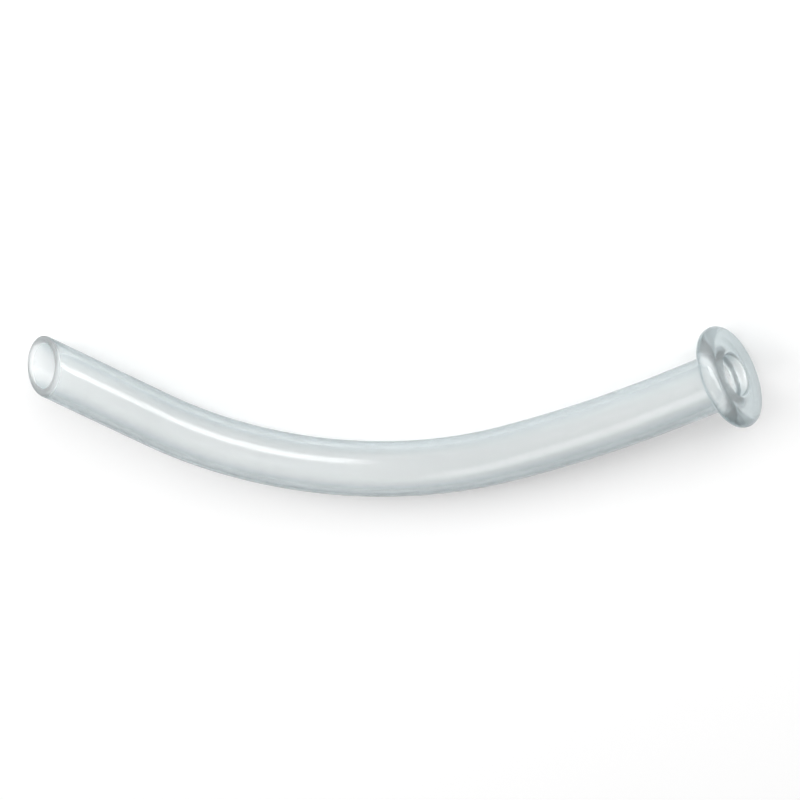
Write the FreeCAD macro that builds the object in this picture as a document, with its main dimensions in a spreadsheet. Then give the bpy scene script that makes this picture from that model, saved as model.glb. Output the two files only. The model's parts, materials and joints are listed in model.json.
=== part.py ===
"""Nasopharyngeal airway: a soft curved tube with a bevelled tip and a round, thick-lipped flange.

Millimetres, +Z up. The tube lies on its side as it comes to rest on a table, with the flange
towards -X, the tip towards +X and the hollow side of its curve towards -Y.
"""
import FreeCAD, Part
import collections
import math
import os
import Sketcher

NODE = "nasal_airway"
DRIVING = {
    # bore and wall of the tube
    "bore_dia": 8.0,
    "wall_thick": 1.35,
    # centre line, from the face of the flange to the middle of the tip
    "flange_straight": 14.0,
    "lead_radius": 210.0,
    "lead_turn": 9.7,
    "main_radius": 67.0,
    "main_turn": 60.0,
    "tip_straight": 25.0,
    # flange, with a full-round lip and a face that dishes in to the bore
    "flange_dia": 19.7,
    "flange_thick": 3.6,
    "dish_angle": 6.0,
    "mouth_round": 0.8,
    "neck_fillet": 1.5,
    # slanted opening at the tip
    "bevel_angle": 25.0,
    "tip_round_outer": 0.5,
    "tip_round_inner": 0.3,
    # spare length and width of the cut that trims the tip to its slant
    "trim_spare": 2.0,
}
START, END, CENTRE = 1, 2, 3
ORIGIN = (-1, 1)
FLATNESS = 0.001
Route = collections.namedtuple("Route", "bend_start lead_centre main_centre bend_end tip lead_turn turn")

doc = FreeCAD.newDocument("nasopharyngeal_airway")
sheet = doc.addObject("Spreadsheet::Sheet", "sizes")
for row, (name, value) in enumerate(DRIVING.items(), start=1):
    sheet.set(f"A{row}", name)
    sheet.set(f"B{row}", str(value))
    sheet.setAlias(f"B{row}", name)
doc.recompute()


def size(name):
    """A driving dimension, read back from the sheet."""
    return float(sheet.get(name))


def vec(x, y):
    """A point of a sketch plane."""
    return FreeCAD.Vector(x, y, 0)


def point_on(centre, radius, degrees):
    """The point this far from the centre, in this direction."""
    turn = math.radians(degrees)
    return centre + vec(math.cos(turn), math.sin(turn)) * radius


def arc_of(centre, radius, start, end):
    """An arc, counter-clockwise between two directions in degrees."""
    circle = Part.Circle(centre, FreeCAD.Vector(0, 0, 1), radius)
    return Part.ArcOfCircle(circle, math.radians(start), math.radians(end))


def sketch_on(body, name, role):
    """An empty sketch on one of the body's origin planes."""
    plane = next(item for item in body.Origin.OriginFeatures if item.Role == role)
    sketch = body.newObject("Sketcher::SketchObject", name)
    sketch.AttachmentSupport = [(plane, "")]
    sketch.MapMode = "FlatFace"
    return sketch


def constrain(sketch, *rules):
    """Add geometric constraints, each written as its kind and what it holds."""
    for rule in rules:
        sketch.addConstraint(Sketcher.Constraint(*rule))


def dimension(sketch, name, rule, expression):
    """Add a dimension with the value that it has now, and tie it to the sheet."""
    sketch.addConstraint(Sketcher.Constraint(*rule))
    sketch.renameConstraint(sketch.ConstraintCount - 1, name)
    sketch.setExpression(f"Constraints.{name}", expression)


def find_route():
    """Points and turns of the centre line, which starts at the origin and runs towards -X."""
    lead, main = size("lead_radius"), size("main_radius")
    lead_turn = size("lead_turn")
    turn = lead_turn + size("main_turn")
    bend_start = vec(-size("flange_straight"), 0)
    lead_centre = bend_start + vec(0, lead)
    main_centre = point_on(lead_centre, lead - main, -90 - lead_turn)
    bend_end = point_on(main_centre, main, -90 - turn)
    tip = point_on(bend_end, size("tip_straight"), 180 - turn)
    return Route(bend_start, lead_centre, main_centre, bend_end, tip, lead_turn, turn)


def centre_line(body):
    """The tube's centre line behind the flange: straight, a gentle bend, the main bend, straight.

    It runs towards -X, turns towards +Y, and ends a little beyond the tip, to be trimmed there.
    """
    route = find_route()
    neck = size("flange_thick") + size("neck_fillet")
    outside = size("bore_dia") / 2 + size("wall_thick")
    far_run = size("tip_straight") + outside * math.tan(math.radians(size("bevel_angle")))
    far_run += size("trim_spare")
    end = point_on(route.bend_end, far_run, 180 - route.turn)
    lead_arc = arc_of(route.lead_centre, size("lead_radius"), -90 - route.lead_turn, -90)
    main_arc = arc_of(route.main_centre, size("main_radius"), -90 - route.turn, -90 - route.lead_turn)
    sketch = sketch_on(body, "centre_line", "XY_Plane")
    near = sketch.addGeometry(Part.LineSegment(vec(-neck, 0), route.bend_start))
    lead = sketch.addGeometry(lead_arc)
    main = sketch.addGeometry(main_arc)
    far = sketch.addGeometry(Part.LineSegment(route.bend_end, end))
    constrain(
        sketch,
        ("PointOnObject", near, START, -1),
        ("Horizontal", near),
        ("Tangent", near, END, lead, END),
        ("Tangent", lead, START, main, END),
        ("Tangent", main, START, far, START),
    )
    dimension(sketch, "neck_at", ("DistanceX", near, START, *ORIGIN, neck),
              "sizes.flange_thick + sizes.neck_fillet")
    dimension(sketch, "bend_at", ("DistanceX", near, END, *ORIGIN, size("flange_straight")),
              "sizes.flange_straight")
    dimension(sketch, "lead_bend", ("Radius", lead, size("lead_radius")), "sizes.lead_radius")
    dimension(sketch, "main_bend", ("Radius", main, size("main_radius")), "sizes.main_radius")
    dimension(sketch, "lead_angle", ("Angle", lead, math.radians(size("lead_turn"))),
              "sizes.lead_turn * 1 deg")
    dimension(sketch, "main_angle", ("Angle", main, math.radians(size("main_turn"))),
              "sizes.main_turn * 1 deg")
    dimension(sketch, "far_run", ("Distance", far, far_run),
              "sizes.tip_straight + (sizes.bore_dia / 2 + sizes.wall_thick)"
              " * tan(sizes.bevel_angle * 1 deg) + sizes.trim_spare")
    return sketch


def tube(body):
    """The tube itself: a ring swept along the centre line from the flange's neck."""
    path = centre_line(body)
    bore = size("bore_dia") / 2
    outside = bore + size("wall_thick")
    ring = sketch_on(body, "tube_section", "YZ_Plane")
    ring.setExpression("AttachmentOffset.Base.z", "-(sizes.flange_thick + sizes.neck_fillet)")
    inner = ring.addGeometry(Part.Circle(vec(0, 0), FreeCAD.Vector(0, 0, 1), bore))
    outer = ring.addGeometry(Part.Circle(vec(0, 0), FreeCAD.Vector(0, 0, 1), outside))
    constrain(
        ring,
        ("Coincident", inner, CENTRE, *ORIGIN),
        ("Coincident", outer, CENTRE, *ORIGIN),
    )
    dimension(ring, "inside", ("Radius", inner, bore), "sizes.bore_dia / 2")
    dimension(ring, "outside", ("Radius", outer, outside), "sizes.bore_dia / 2 + sizes.wall_thick")
    doc.recompute()
    sweep = body.newObject("PartDesign::AdditivePipe", "tube")
    sweep.Profile = ring
    sweep.Spine = path
    doc.recompute()
    return sweep


def flange(body):
    """The flange and its neck, turned about the bore's axis.

    The profile runs from the bore over the rounded mouth, up the dished face, round the lip,
    down the back and through the neck fillet to the outside of the tube.
    """
    bore = size("bore_dia") / 2
    outside = bore + size("wall_thick")
    lip = size("flange_thick") / 2
    lip_height = size("flange_dia") / 2 - lip
    mouth = size("mouth_round")
    neck = size("neck_fillet")
    dish = size("dish_angle")
    slope = math.radians(dish)
    neck_end = -size("flange_thick") - neck
    rise = lip_height - bore - mouth
    mouth_at = -lip + (lip - mouth - rise * math.sin(slope)) / math.cos(slope)
    lip_centre = vec(-lip, lip_height)
    mouth_centre = vec(mouth_at, bore + mouth)
    neck_centre = vec(neck_end, outside + neck)

    sketch = sketch_on(body, "flange_profile", "XY_Plane")
    wall = sketch.addGeometry(Part.LineSegment(vec(neck_end, bore), vec(mouth_at, bore)))
    round_in = sketch.addGeometry(arc_of(mouth_centre, mouth, -90, -dish))
    face = sketch.addGeometry(Part.LineSegment(point_on(mouth_centre, mouth, -dish),
                                               point_on(lip_centre, lip, -dish)))
    rim = sketch.addGeometry(arc_of(lip_centre, lip, -dish, 180))
    back = sketch.addGeometry(Part.LineSegment(vec(-2 * lip, lip_height),
                                               vec(-2 * lip, outside + neck)))
    fillet = sketch.addGeometry(arc_of(neck_centre, neck, -90, 0))
    end = sketch.addGeometry(Part.LineSegment(vec(neck_end, outside), vec(neck_end, bore)))
    constrain(
        sketch,
        ("Tangent", wall, END, round_in, START),
        ("Tangent", round_in, END, face, START),
        ("Tangent", face, END, rim, START),
        ("Tangent", rim, END, back, START),
        ("Tangent", back, END, fillet, END),
        ("Coincident", fillet, START, end, START),
        ("Coincident", end, END, wall, START),
        ("Horizontal", wall),
        ("Vertical", back),
        ("Vertical", end),
        ("Vertical", fillet, CENTRE, fillet, START),
    )
    dimension(sketch, "bore", ("DistanceY", *ORIGIN, wall, START, bore), "sizes.bore_dia / 2")
    dimension(sketch, "wall", ("DistanceY", wall, START, end, START, size("wall_thick")),
              "sizes.wall_thick")
    dimension(sketch, "lip", ("Radius", rim, lip), "sizes.flange_thick / 2")
    dimension(sketch, "lip_behind", ("DistanceX", rim, CENTRE, *ORIGIN, lip), "sizes.flange_thick / 2")
    dimension(sketch, "lip_height", ("DistanceY", *ORIGIN, rim, CENTRE, lip_height),
              "sizes.flange_dia / 2 - sizes.flange_thick / 2")
    dimension(sketch, "mouth", ("Radius", round_in, mouth), "sizes.mouth_round")
    dimension(sketch, "neck", ("Radius", fillet, neck), "sizes.neck_fillet")
    dimension(sketch, "dish", ("Angle", face, math.radians(90 - dish)),
              "90 deg - sizes.dish_angle * 1 deg")
    doc.recompute()
    turned = body.newObject("PartDesign::Revolution", "flange")
    turned.Profile = sketch
    turned.ReferenceAxis = (sketch, ["H_Axis"])
    turned.Angle = 360
    doc.recompute()
    return turned


def bevel(body):
    """Trim the tip to its slant.

    The cut is drawn on the upright plane through the tip's axis: its X runs out along that axis
    and its Y up the tube's side. It leaves the tip longest on the underside of the lying tube.
    """
    outside = size("bore_dia") / 2 + size("wall_thick")
    slant = math.radians(size("bevel_angle"))
    reach = outside + size("trim_spare")
    far = reach * math.tan(slant) + 2 * size("trim_spare")
    lead = "sizes.lead_turn * 1 deg"
    turn = "(sizes.lead_turn + sizes.main_turn) * 1 deg"
    sketch = sketch_on(body, "bevel_cut", "XZ_Plane")
    sketch.AttachmentOffset = FreeCAD.Placement(vec(0, 0), FreeCAD.Rotation(vec(0, 1), 180))
    sketch.setExpression("AttachmentOffset.Rotation.Angle", f"180 deg - {turn}")
    sketch.setExpression(
        "AttachmentOffset.Base.x",
        f"-(sizes.flange_straight + sizes.lead_radius * sin({lead})"
        f" + sizes.main_radius * (sin({turn}) - sin({lead})) + sizes.tip_straight * cos({turn}))")
    sketch.setExpression(
        "AttachmentOffset.Base.z",
        f"-(sizes.lead_radius * (1 - cos({lead}))"
        f" + sizes.main_radius * (cos({lead}) - cos({turn})) + sizes.tip_straight * sin({turn}))")
    low = vec(reach * math.tan(slant), -reach)
    high = vec(-reach * math.tan(slant), reach)
    cut = sketch.addGeometry(Part.LineSegment(low, high))
    top = sketch.addGeometry(Part.LineSegment(high, vec(far, reach)))
    side = sketch.addGeometry(Part.LineSegment(vec(far, reach), vec(far, -reach)))
    bottom = sketch.addGeometry(Part.LineSegment(vec(far, -reach), low))
    constrain(
        sketch,
        ("Coincident", cut, END, top, START),
        ("Coincident", top, END, side, START),
        ("Coincident", side, END, bottom, START),
        ("Coincident", bottom, END, cut, START),
        ("Horizontal", top),
        ("Vertical", side),
        ("Horizontal", bottom),
        ("Symmetric", cut, START, cut, END, *ORIGIN),
    )
    outer = "(sizes.bore_dia / 2 + sizes.wall_thick + sizes.trim_spare)"
    slope = "tan(sizes.bevel_angle * 1 deg)"
    dimension(sketch, "reach", ("DistanceY", *ORIGIN, cut, END, reach), outer)
    dimension(sketch, "slant", ("DistanceX", cut, END, *ORIGIN, reach * math.tan(slant)),
              f"{outer} * {slope}")
    dimension(sketch, "far_side", ("DistanceX", *ORIGIN, side, START, far),
              f"{outer} * {slope} + 2 * sizes.trim_spare")
    doc.recompute()
    before = body.Shape.Volume
    pocket = body.newObject("PartDesign::Pocket", "bevel")
    pocket.Profile = sketch
    pocket.Type = "ThroughAll"
    pocket.Midplane = True
    doc.recompute()
    if pocket.Shape.Volume >= before:
        raise RuntimeError("the bevel cuts nothing")
    return pocket


def tip_edge(feature, outer):
    """The name of the slanted end's outer or inner edge."""
    route = find_route()
    slant = math.radians(size("bevel_angle"))
    along = point_on(vec(0, 0), math.cos(slant), 180 - route.turn)
    facing = along + FreeCAD.Vector(0, 0, math.sin(slant))
    found = []
    for number, edge in enumerate(feature.Shape.Edges, start=1):
        probes = [edge.valueAt(edge.getParameterByLength(edge.Length * share)) for share in (0.1, 0.4, 0.7)]
        if max(abs((point - route.tip).dot(facing)) for point in probes) < FLATNESS:
            found.append((edge.Length, f"Edge{number}"))
    return max(found)[1] if outer else min(found)[1]


def tip_rounding(body, feature, name, outer):
    """A small round on one edge of the slanted end."""
    fillet = body.newObject("PartDesign::Fillet", name)
    fillet.Base = (feature, [tip_edge(feature, outer)])
    fillet.Radius = size(name)
    fillet.setExpression("Radius", f"sizes.{name}")
    doc.recompute()
    return fillet


def rest_up(shape):
    """The direction of the tube's own frame that points up when it lies still on its side.

    At rest the centre of mass is as low over the table as it can get by rocking, so the search
    starts from the tube's flat side and follows that height downhill.
    """
    fineness, first_step, last_step = 0.02, 0.05, 0.00005
    centre = shape.CenterOfMass
    points = [point - centre for point in shape.tessellate(fineness)[0]]

    def height(lean):
        up = FreeCAD.Vector(lean[0], lean[1], 1).normalize()
        return max(-point.dot(up) for point in points)

    lean, step = (0.0, 0.0), first_step
    lowest = height(lean)
    while step > last_step:
        tries = [(lean[0] + dx * step, lean[1] + dy * step)
                 for dx, dy in ((1, 0), (-1, 0), (0, 1), (0, -1), (1, 1), (-1, -1), (1, -1), (-1, 1))]
        best = min(tries, key=height)
        if height(best) < lowest:
            lean, lowest = best, height(best)
        else:
            step /= 2
    return FreeCAD.Vector(lean[0], lean[1], 1).normalize()


def rest_placement(shape):
    """Lay the tube on the table with its chord along X, its box's bottom middle at the origin."""
    tip = find_route().tip
    tilt = FreeCAD.Rotation(rest_up(shape), FreeCAD.Vector(0, 0, 1))
    chord = tilt.multVec(tip)
    yaw = FreeCAD.Rotation(FreeCAD.Vector(0, 0, 1), -math.degrees(math.atan2(chord.y, chord.x)))
    turned = shape.copy()
    turned.Placement = FreeCAD.Placement(FreeCAD.Vector(), yaw * tilt)
    box = turned.optimalBoundingBox(False)
    shift = FreeCAD.Vector(-box.Center.x, -box.Center.y, -box.ZMin)
    return FreeCAD.Placement(shift, yaw * tilt)


def swept_volume():
    """What the wall's section times the centre line's length comes to, without the flange."""
    bore, outside = size("bore_dia") / 2, size("bore_dia") / 2 + size("wall_thick")
    length = (size("flange_straight") + math.radians(size("lead_turn")) * size("lead_radius")
              + math.radians(size("main_turn")) * size("main_radius") + size("tip_straight"))
    return math.pi * (outside ** 2 - bore ** 2) * length


def check_objects():
    """Stop where an object failed, or the sub-part isn't one closed, valid solid."""
    for item in doc.Objects:
        if "Invalid" in item.State or "Error" in item.State:
            raise RuntimeError(f"{item.Name} failed: {item.State}")
    shape = airway.Shape
    if shape.isNull() or not shape.isValid() or len(shape.Solids) != 1:
        raise RuntimeError("the airway isn't one valid solid")


airway = doc.addObject("PartDesign::Body", NODE)
airway.Label = NODE
flange(airway)
tube(airway)
trimmed = bevel(airway)
outer_round = tip_rounding(airway, trimmed, "tip_round_outer", True)
tip_rounding(airway, outer_round, "tip_round_inner", False)
check_objects()
airway.Placement = rest_placement(airway.Shape.Solids[0])
doc.recompute()
check_objects()

os.makedirs("parts", exist_ok=True)
airway.Shape.exportStep(f"parts/{airway.Label}.step")
extent = airway.Shape.optimalBoundingBox(False)
print(f"{NODE}: {airway.Shape.Volume:.0f} mm3, tube alone {swept_volume():.0f} mm3")
print(f"box {extent.XLength:.2f} x {extent.YLength:.2f} x {extent.ZLength:.2f} mm")
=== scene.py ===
import json
import math

import bmesh
import bpy
from mathutils import Matrix, Vector


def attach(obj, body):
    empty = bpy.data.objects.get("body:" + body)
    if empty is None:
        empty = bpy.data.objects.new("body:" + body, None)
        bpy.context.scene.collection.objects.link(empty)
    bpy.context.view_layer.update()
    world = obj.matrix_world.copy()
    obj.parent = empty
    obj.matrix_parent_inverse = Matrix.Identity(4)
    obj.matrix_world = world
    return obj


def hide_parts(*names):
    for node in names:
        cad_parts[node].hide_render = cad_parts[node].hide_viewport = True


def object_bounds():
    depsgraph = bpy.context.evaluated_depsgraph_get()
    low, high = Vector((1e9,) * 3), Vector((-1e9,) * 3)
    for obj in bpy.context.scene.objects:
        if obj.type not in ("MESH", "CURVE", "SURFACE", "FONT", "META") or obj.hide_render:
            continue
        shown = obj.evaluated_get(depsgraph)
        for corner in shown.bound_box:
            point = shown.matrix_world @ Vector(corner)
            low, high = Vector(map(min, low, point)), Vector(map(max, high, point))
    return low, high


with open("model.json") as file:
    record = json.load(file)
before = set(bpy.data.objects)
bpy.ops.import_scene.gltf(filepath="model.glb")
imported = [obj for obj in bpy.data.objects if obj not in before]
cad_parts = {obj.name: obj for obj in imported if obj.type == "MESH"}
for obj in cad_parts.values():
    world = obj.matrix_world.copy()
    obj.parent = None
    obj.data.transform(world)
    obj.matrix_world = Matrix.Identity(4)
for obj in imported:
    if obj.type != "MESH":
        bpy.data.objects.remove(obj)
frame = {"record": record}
cad_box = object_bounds()

MM = 0.001

# Sizes of the airway in millimetres and degrees, the same as in the part's source
BORE_RADIUS = 4.0
TUBE_RADIUS = 5.35
FLANGE_STRAIGHT = 14.0
LEAD_RADIUS = 210.0
LEAD_TURN = 9.7
MAIN_RADIUS = 67.0
MAIN_TURN = 60.0
TIP_STRAIGHT = 25.0
FLANGE_RADIUS = 9.85
FLANGE_THICK = 3.6
DISH_ANGLE = 6.0
MOUTH_ROUND = 0.8
NECK_FILLET = 1.5
BEVEL_ANGLE = 25.0
TIP_ROUND_OUTER = 0.5
TIP_ROUND_INNER = 0.3

# The drawn tube is a touch smaller than the solid, so that no point of it passes the solid's box
SKIN_SCALE = 0.9991

# How finely the mesh is divided
ROUND_STEPS = 112
LIP_STEPS = 26
FILLET_STEPS = 8
FACE_STEPS = 4
STRAIGHT_STEPS = 8
LEAD_STEPS = 30
MAIN_STEPS = 90
RIM_STEPS = 5

# The tube's last step, which leans with the slant, and how near two points are merged, in millimetres
TIP_STEP = 4.0
MERGE_DISTANCE = 0.0005

# Where the photograph was taken from, in the part's frame: metres and degrees, and millimetres for the lens
CAMERA_AIM = (-0.0024, -0.01305, 0.01689)
CAMERA_DISTANCE = 0.64378
CAMERA_AZIMUTH = -6.712
CAMERA_ELEVATION = 46.974
CAMERA_ROLL = -175.09
CAMERA_LENS = 157.85
CAMERA_SENSOR = 36.0
CAMERA_NEAR = 0.05
CAMERA_FAR = 20.0

# Colours of the vinyl: a faint cloudy tint, deeper towards the outline, partly for the longer path through
# the wall and partly as painted shade for the dark edges, and paler on the cut at the tip, which is left
# out of that painted shade
WHITE = (1.0, 1.0, 1.0, 1.0)
TINT_DEEP = (0.967, 0.983, 0.986, 1.0)
TINT_PALE = (0.986, 0.997, 0.998, 1.0)
OUTLINE_TINT_AND_SHADE = (0.63, 0.70, 0.72, 1.0)
CUT_COLOUR = (0.97, 0.98, 0.98, 1.0)
DEPTH_COLOUR = (0.50, 0.60, 0.62, 1.0)
DEPTH_DENSITY = 52.0
TINT_START = 0.3
TINT_END = 0.7
OUTLINE_START = 0.12
OUTLINE_END = 0.5

# Surface of the vinyl: soft gloss with slight ripples, and a matt cut at the tip
VINYL_IOR = 1.5
VINYL_CLEARNESS = 0.8
POLISH_SMOOTH = 0.15
POLISH_DULL = 0.22
CUT_POLISH = 0.6
CLOUD_SCALE = 60.0
CLOUD_DETAIL = 3.0
RIPPLE_SCALE = 260.0
RIPPLE_DETAIL = 2.0
RIPPLE_STRENGTH = 0.15
RIPPLE_HEIGHT = 0.0002

# How far back from the slanted cut the matt rim starts and where it is full, in millimetres
RIM_DEPTH = 0.6
RIM_FULL = 0.2

# The white floor and the room round it, in metres and as strengths where 1 is white
FLOOR_REACH = 3.0
FLOOR_DROP = 0.00002
FLOOR_COLOUR = (0.88, 0.88, 0.88, 1.0)
FLOOR_GLOW = 0.2
FLOOR_GLOW_FAR = 0.8
# The floor's glow seen through the vinyl is painted light: it lifts the tube's own shadow under it, in
# place of light the vinyl lets through
FLOOR_PAINTED_LIGHT_THROUGH = 0.3
GLOW_FADE_START = 0.3
GLOW_FADE_END = 1.5
ROOM_LIGHT = 0.25
ROOM_WHITE = 1.0

# Sockets of a colour Mix node, whose names are shared with its other kinds
MIX_FIRST = 6
MIX_SECOND = 7
MIX_RESULT = 2

# Enough for light to pass through all the walls where the clear tube is seen along its length
LIGHT_BOUNCES = 24


# Camera

def point_camera():
    data = bpy.data.cameras.new("camera")
    data.lens = CAMERA_LENS
    data.sensor_width = CAMERA_SENSOR
    data.clip_start = CAMERA_NEAR
    data.clip_end = CAMERA_FAR
    camera = bpy.data.objects.new("camera", data)
    bpy.context.scene.collection.objects.link(camera)
    azimuth = Matrix.Rotation(math.radians(CAMERA_AZIMUTH), 4, "Z")
    tilt = Matrix.Rotation(math.radians(90.0 - CAMERA_ELEVATION), 4, "X")
    roll = Matrix.Rotation(math.radians(CAMERA_ROLL), 4, "Z")
    turn = azimuth @ tilt @ roll
    back = turn.to_3x3() @ Vector((0.0, 0.0, CAMERA_DISTANCE))
    camera.matrix_world = Matrix.Translation(Vector(CAMERA_AIM) + back) @ turn
    bpy.context.scene.camera = camera


# The airway is drawn flat in millimetres: bore along X, front of the flange's lip at X = 0, curve in XY

def mouth_depth():
    lip = FLANGE_THICK / 2
    rise = FLANGE_RADIUS - lip - BORE_RADIUS - MOUTH_ROUND
    slope = math.radians(DISH_ANGLE)
    return lip - (lip - MOUTH_ROUND - rise * math.sin(slope)) / math.cos(slope)


def place_of_airway():
    mounts = {mount["name"]: mount for mount in frame["record"]["mounts"]}
    outward = Vector(mounts["flange_bore"]["axis"]).normalized()
    tip_way = Vector(mounts["tip_bore"]["axis"]).normalized()
    upward = outward.cross(tip_way).normalized()
    hollow = upward.cross(outward)
    # The bore's mount sits halfway along the straight stretch between the mouth and the first bend
    middle = Vector(mounts["flange_bore"]["pos_m"])
    face = middle + outward * (FLANGE_STRAIGHT + mouth_depth()) / 2 * MM
    turn = Matrix((outward, hollow, upward)).transposed().to_4x4()
    centre = (Vector(cad_box[0]) + Vector(cad_box[1])) / 2
    skin = Matrix.Translation(centre) @ Matrix.Scale(SKIN_SCALE, 4) @ Matrix.Translation(-centre)
    return skin @ Matrix.Translation(face) @ turn @ Matrix.Scale(MM, 4)


def draw_line(bm, start, end, steps):
    first = start.co.copy()
    last = start
    for step in range(1, steps + 1):
        last = bmesh.ops.extrude_vert_indiv(bm, verts=[last])["verts"][0]
        last.co = first.lerp(Vector((*end, 0.0)), step / steps)
    return last


def draw_arc(bm, start, centre, degrees, steps):
    made = bmesh.ops.spin(
        bm, geom=[start], cent=(*centre, 0.0), axis=(0.0, 0.0, 1.0), angle=math.radians(degrees),
        steps=steps, use_merge=False)
    return [part for part in made["geom_last"] if isinstance(part, bmesh.types.BMVert)][0]


def draw_flange(bm):
    lip = FLANGE_THICK / 2
    lip_height = FLANGE_RADIUS - lip
    mouth = (-mouth_depth(), BORE_RADIUS + MOUTH_ROUND)
    neck = (-FLANGE_THICK - NECK_FILLET, TUBE_RADIUS + NECK_FILLET)
    slope = math.radians(DISH_ANGLE)
    lip_start = (-lip + lip * math.cos(slope), lip_height - lip * math.sin(slope))
    pen = bm.verts.new((neck[0], BORE_RADIUS, 0.0))
    pen = draw_line(bm, pen, (mouth[0], BORE_RADIUS), STRAIGHT_STEPS)
    pen = draw_arc(bm, pen, mouth, 90.0 - DISH_ANGLE, FILLET_STEPS)
    pen = draw_line(bm, pen, lip_start, FACE_STEPS)
    pen = draw_arc(bm, pen, (-lip, lip_height), 180.0 + DISH_ANGLE, LIP_STEPS)
    pen = draw_line(bm, pen, (-FLANGE_THICK, neck[1]), FACE_STEPS)
    draw_arc(bm, pen, neck, -90.0, FILLET_STEPS)
    bmesh.ops.spin(
        bm, geom=bm.verts[:] + bm.edges[:], cent=(0.0, 0.0, 0.0), axis=(1.0, 0.0, 0.0),
        angle=math.tau, steps=ROUND_STEPS, use_merge=True)
    bmesh.ops.remove_doubles(bm, verts=bm.verts[:], dist=MERGE_DISTANCE)


def open_rings(bm):
    return [edge for edge in bm.edges if len(edge.link_faces) == 1]


def verts_of(ring):
    return list({vert for edge in ring for vert in edge.verts})


def push_straight(bm, ring, way, length, steps):
    for _ in range(steps):
        made = bmesh.ops.extrude_edge_only(bm, edges=ring)["geom"]
        ring = [part for part in made if isinstance(part, bmesh.types.BMEdge)]
        bmesh.ops.translate(bm, verts=verts_of(ring), vec=way * (length / steps))
    return ring


def push_bend(bm, ring, centre, degrees, steps):
    made = bmesh.ops.spin(
        bm, geom=verts_of(ring) + ring, cent=centre, axis=(0.0, 0.0, 1.0), angle=-math.radians(degrees),
        steps=steps, use_merge=False)
    return [part for part in made["geom_last"] if isinstance(part, bmesh.types.BMEdge)]


def run_tube(bm):
    way = Vector((-1.0, 0.0, 0.0))
    neck_end = FLANGE_THICK + NECK_FILLET
    ring = push_straight(bm, open_rings(bm), way, FLANGE_STRAIGHT - neck_end, STRAIGHT_STEPS)
    lead_centre = Vector((-FLANGE_STRAIGHT, LEAD_RADIUS, 0.0))
    ring = push_bend(bm, ring, lead_centre, LEAD_TURN, LEAD_STEPS)
    lead_turn = Matrix.Rotation(-math.radians(LEAD_TURN), 3, "Z")
    main_centre = lead_centre - lead_turn @ Vector((0.0, LEAD_RADIUS - MAIN_RADIUS, 0.0))
    ring = push_bend(bm, ring, main_centre, MAIN_TURN, MAIN_STEPS)
    way = Matrix.Rotation(-math.radians(LEAD_TURN + MAIN_TURN), 3, "Z") @ way
    ring = push_straight(bm, ring, way, TIP_STRAIGHT - TIP_STEP, STRAIGHT_STEPS)
    ring = push_straight(bm, ring, way, TIP_STEP, 1)
    return ring, way


def sort_rim_edges(faces, middle, way):
    outer = []
    inner = []
    for edge in {edge for face in faces for edge in face.edges}:
        if all(face in faces for face in edge.link_faces):
            continue
        offset = edge.verts[0].co - middle
        radius = (offset - offset.project(way)).length
        if radius > (BORE_RADIUS + TUBE_RADIUS) / 2:
            outer.append(edge)
        else:
            inner.append(edge)
    return outer, inner


def slant_tip(bm, ring, way):
    slant = math.tan(math.radians(BEVEL_ANGLE))
    lean = Matrix.Identity(4)
    lean[0][2] = -way.x * slant
    lean[1][2] = -way.y * slant
    verts = verts_of(ring)
    bmesh.ops.transform(bm, matrix=lean, verts=verts)
    faces = set(bmesh.ops.bridge_loops(bm, edges=ring)["faces"])
    middle = sum((vert.co for vert in verts), Vector()) / len(verts)
    outer, inner = sort_rim_edges(faces, middle, way)
    # The bevel is as wide as such a rounding is at the sharp side of the slant, where it is widest
    sharp = math.tan(math.radians(90.0 - BEVEL_ANGLE) / 2)
    for edges, radius in ((outer, TIP_ROUND_OUTER), (inner, TIP_ROUND_INNER)):
        bmesh.ops.bevel(
            bm, geom=edges, offset=radius / sharp, offset_type="OFFSET", segments=RIM_STEPS, profile=0.5,
            affect="EDGES", clamp_overlap=False, material=-1)
    return middle, (way + Vector((0.0, 0.0, slant))).normalized()


def make_airway():
    bm = bmesh.new()
    draw_flange(bm)
    ring, way = run_tube(bm)
    rim_point, rim_way = slant_tip(bm, ring, way)
    place = place_of_airway()
    bmesh.ops.transform(bm, matrix=place, verts=bm.verts[:])
    bmesh.ops.recalc_face_normals(bm, faces=bm.faces[:])
    for face in bm.faces:
        face.smooth = True
    mesh = bpy.data.meshes.new("nasal_airway_tube")
    bm.to_mesh(mesh)
    bm.free()
    piece = bpy.data.objects.new("nasal_airway_tube", mesh)
    bpy.context.scene.collection.objects.link(piece)
    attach(piece, "root")
    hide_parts("nasal_airway")
    turn = place.to_3x3().normalized()
    piece.data.materials.append(clear_vinyl(place @ rim_point, turn @ rim_way))


# Parts that the materials share

def new_material(name):
    material = bpy.data.materials.new(name)
    material.use_nodes = True
    material.node_tree.nodes.clear()
    return material, material.node_tree.nodes, material.node_tree.links


def feed(links, socket, value):
    if isinstance(value, bpy.types.NodeSocket):
        links.new(value, socket)
    else:
        socket.default_value = value


def calculate(nodes, links, operation, first, second):
    node = nodes.new("ShaderNodeMath")
    node.operation = operation
    feed(links, node.inputs[0], first)
    feed(links, node.inputs[1], second)
    return node.outputs["Value"]


def map_range(nodes, links, value, low, high, start=0.0, end=1.0):
    node = nodes.new("ShaderNodeMapRange")
    feed(links, node.inputs["Value"], value)
    feed(links, node.inputs["From Min"], start)
    feed(links, node.inputs["From Max"], end)
    feed(links, node.inputs["To Min"], low)
    feed(links, node.inputs["To Max"], high)
    return node.outputs["Result"]


def noise(nodes, links, place, scale, detail):
    node = nodes.new("ShaderNodeTexNoise")
    node.inputs["Scale"].default_value = scale
    node.inputs["Detail"].default_value = detail
    links.new(place, node.inputs["Vector"])
    return node.outputs["Fac"]


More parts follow.
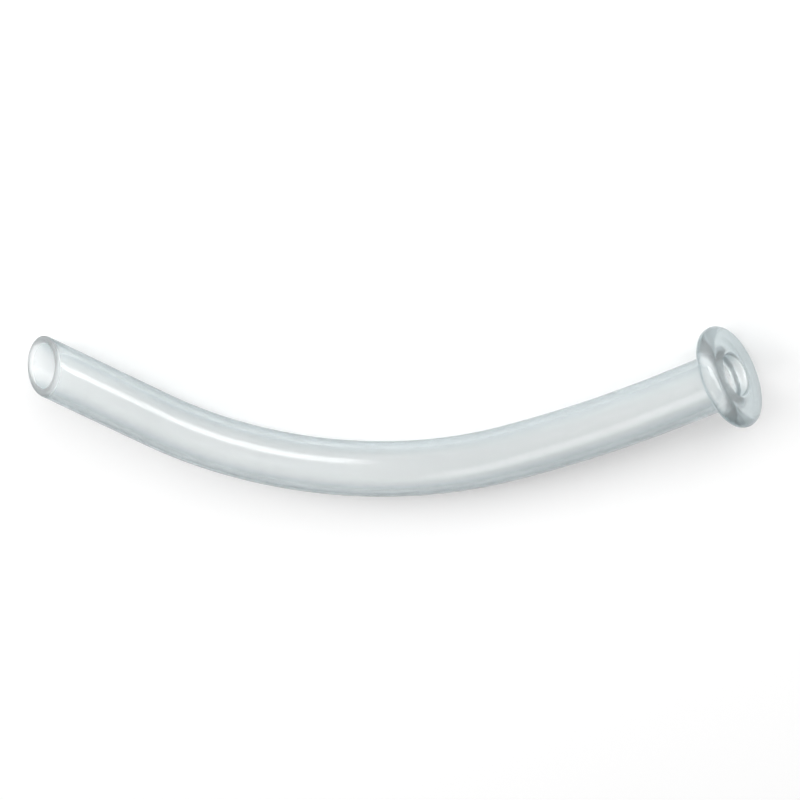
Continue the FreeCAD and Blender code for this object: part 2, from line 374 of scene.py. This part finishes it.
def colour_ramp(nodes, links, value, start, start_colour, end, end_colour):
    node = nodes.new("ShaderNodeValToRGB")
    first, last = node.color_ramp.elements
    first.position = start
    first.color = start_colour
    last.position = end
    last.color = end_colour
    links.new(value, node.inputs["Fac"])
    return node.outputs["Color"]


def mix_colours(nodes, links, blend, factor, first, second):
    node = nodes.new("ShaderNodeMix")
    node.data_type = "RGBA"
    node.blend_type = blend
    feed(links, node.inputs["Factor"], factor)
    feed(links, node.inputs[MIX_FIRST], first)
    feed(links, node.inputs[MIX_SECOND], second)
    return node.outputs[MIX_RESULT]


# Clear soft vinyl, with painted shade towards its outline and a matt rim where the tip is cut

def rim_mask(nodes, links, place, rim_point, rim_way):
    along = nodes.new("ShaderNodeVectorMath")
    along.operation = "DOT_PRODUCT"
    along.inputs[1].default_value = rim_way
    links.new(place, along.inputs[0])
    cut = rim_point.dot(rim_way)
    start = cut - RIM_DEPTH * MM
    end = cut - RIM_FULL * MM
    return map_range(nodes, links, along.outputs["Value"], 0.0, 1.0, start, end)


def clear_vinyl(rim_point, rim_way):
    material, nodes, links = new_material("clear_vinyl")
    place = nodes.new("ShaderNodeTexCoord").outputs["Object"]
    rim = rim_mask(nodes, links, place, rim_point, rim_way)
    cloud = noise(nodes, links, place, CLOUD_SCALE, CLOUD_DETAIL)
    tint = colour_ramp(nodes, links, cloud, TINT_START, TINT_DEEP, TINT_END, TINT_PALE)
    # Darker where the wall is seen edge-on: partly a tint for the longer path through the wall, partly
    # painted shade for the dark edges
    slope = nodes.new("ShaderNodeLayerWeight").outputs["Facing"]
    outline = colour_ramp(nodes, links, slope, OUTLINE_START, WHITE, OUTLINE_END, OUTLINE_TINT_AND_SHADE)
    wall_colour_and_shade = mix_colours(nodes, links, "MULTIPLY", 1.0, tint, outline)
    colour = mix_colours(nodes, links, "MIX", rim, wall_colour_and_shade, CUT_COLOUR)
    wall_polish = map_range(nodes, links, cloud, POLISH_SMOOTH, POLISH_DULL)
    polish = map_range(nodes, links, rim, wall_polish, CUT_POLISH)
    ripple = nodes.new("ShaderNodeBump")
    ripple.inputs["Strength"].default_value = RIPPLE_STRENGTH
    ripple.inputs["Distance"].default_value = RIPPLE_HEIGHT
    links.new(noise(nodes, links, place, RIPPLE_SCALE, RIPPLE_DETAIL), ripple.inputs["Height"])
    vinyl = nodes.new("ShaderNodeBsdfPrincipled")
    vinyl.inputs["Metallic"].default_value = 0.0
    vinyl.inputs["IOR"].default_value = VINYL_IOR
    vinyl.inputs["Transmission Weight"].default_value = VINYL_CLEARNESS
    links.new(colour, vinyl.inputs["Base Color"])
    links.new(polish, vinyl.inputs["Roughness"])
    links.new(ripple.outputs["Normal"], vinyl.inputs["Normal"])
    depth = nodes.new("ShaderNodeVolumeAbsorption")
    depth.inputs["Color"].default_value = DEPTH_COLOUR
    depth.inputs["Density"].default_value = DEPTH_DENSITY
    surface = nodes.new("ShaderNodeOutputMaterial")
    links.new(vinyl.outputs["BSDF"], surface.inputs["Surface"])
    links.new(depth.outputs["Volume"], surface.inputs["Volume"])
    return material


# White floor, whose own glow only the camera, reflections and views through the vinyl see; the glow seen
# through the vinyl is painted light that lifts the tube's own shadow

def floor_glow(nodes, links):
    reach = nodes.new("ShaderNodeVectorMath")
    reach.operation = "LENGTH"
    links.new(nodes.new("ShaderNodeTexCoord").outputs["Object"], reach.inputs[0])
    fade = map_range(
        nodes, links, reach.outputs["Value"], FLOOR_GLOW, FLOOR_GLOW_FAR, GLOW_FADE_START, GLOW_FADE_END)
    rays = nodes.new("ShaderNodeLightPath").outputs
    seen = calculate(nodes, links, "MAXIMUM", rays["Is Camera Ray"], rays["Is Glossy Ray"])
    shown = calculate(nodes, links, "MULTIPLY", seen, fade)
    # Painted light: the floor glows for views through the vinyl, lifting the tube's own shadow
    through = calculate(nodes, links, "MULTIPLY", rays["Is Transmission Ray"], FLOOR_PAINTED_LIGHT_THROUGH)
    return calculate(nodes, links, "MAXIMUM", shown, through)


def white_floor():
    material, nodes, links = new_material("white_floor")
    glow = nodes.new("ShaderNodeEmission")
    links.new(floor_glow(nodes, links), glow.inputs["Strength"])
    paper = nodes.new("ShaderNodeBsdfDiffuse")
    paper.inputs["Color"].default_value = FLOOR_COLOUR
    both = nodes.new("ShaderNodeAddShader")
    links.new(paper.outputs["BSDF"], both.inputs[0])
    links.new(glow.outputs["Emission"], both.inputs[1])
    surface = nodes.new("ShaderNodeOutputMaterial")
    links.new(both.outputs["Shader"], surface.inputs["Surface"])
    return material


def lay_floor():
    bm = bmesh.new()
    bmesh.ops.create_grid(bm, x_segments=1, y_segments=1, size=FLOOR_REACH)
    bmesh.ops.translate(bm, verts=bm.verts[:], vec=(0.0, 0.0, -FLOOR_DROP))
    mesh = bpy.data.meshes.new("floor")
    bm.to_mesh(mesh)
    bm.free()
    floor = bpy.data.objects.new("floor", mesh)
    floor.data.materials.append(white_floor())
    bpy.context.scene.collection.objects.link(floor)


# Room and lamps, which all point at the origin

def light_world():
    world = bpy.data.worlds.new("studio")
    world.use_nodes = True
    nodes = world.node_tree.nodes
    links = world.node_tree.links
    nodes.clear()
    rays = nodes.new("ShaderNodeLightPath").outputs
    seen = calculate(nodes, links, "MAXIMUM", rays["Is Camera Ray"], rays["Is Transmission Ray"])
    glow = nodes.new("ShaderNodeBackground")
    glow.inputs["Color"].default_value = WHITE
    links.new(map_range(nodes, links, seen, ROOM_LIGHT, ROOM_WHITE), glow.inputs["Strength"])
    surface = nodes.new("ShaderNodeOutputWorld")
    links.new(glow.outputs["Background"], surface.inputs["Surface"])
    bpy.context.scene.world = world


def hang_lamp(name, spot, width, height, watts, mirrored=True, lighting=True):
    data = bpy.data.lights.new(name, "AREA")
    data.shape = "RECTANGLE"
    data.size = width
    data.size_y = height
    data.energy = watts
    lamp = bpy.data.objects.new(name, data)
    lamp.location = spot
    lamp.visible_glossy = mirrored
    lamp.visible_transmission = mirrored
    lamp.visible_diffuse = lighting
    lamp.rotation_euler = (-Vector(spot)).to_track_quat("-Z", "Y").to_euler()
    bpy.context.scene.collection.objects.link(lamp)


def hang_lamps():
    hang_lamp("front_lamp", spot=(0.25, -0.98, 0.76), width=1.8, height=0.5, watts=16.0, mirrored=False)
    # The long streak along the tube is this lamp's mirror image, and the low lamp behind it gives its light
    hang_lamp("streak_lamp", spot=(-0.50, -0.90, 0.35), width=1.35, height=0.42, watts=11.0, lighting=False)
    hang_lamp("low_lamp", spot=(-0.65, -1.17, 0.455), width=1.75, height=0.55, watts=8.45, mirrored=False)
    hang_lamp("top_lamp", spot=(0.47, 0.10, 0.88), width=0.5, height=0.5, watts=1.7)
    hang_lamp("side_lamp", spot=(1.00, -0.25, 0.45), width=0.4, height=0.4, watts=1.6, mirrored=False)


bpy.context.scene.cycles.max_bounces = LIGHT_BOUNCES
bpy.context.scene.cycles.transmission_bounces = LIGHT_BOUNCES
point_camera()
make_airway()
lay_floor()
light_world()
hang_lamps()
bpy.context.scene.view_settings.view_transform = "Standard"
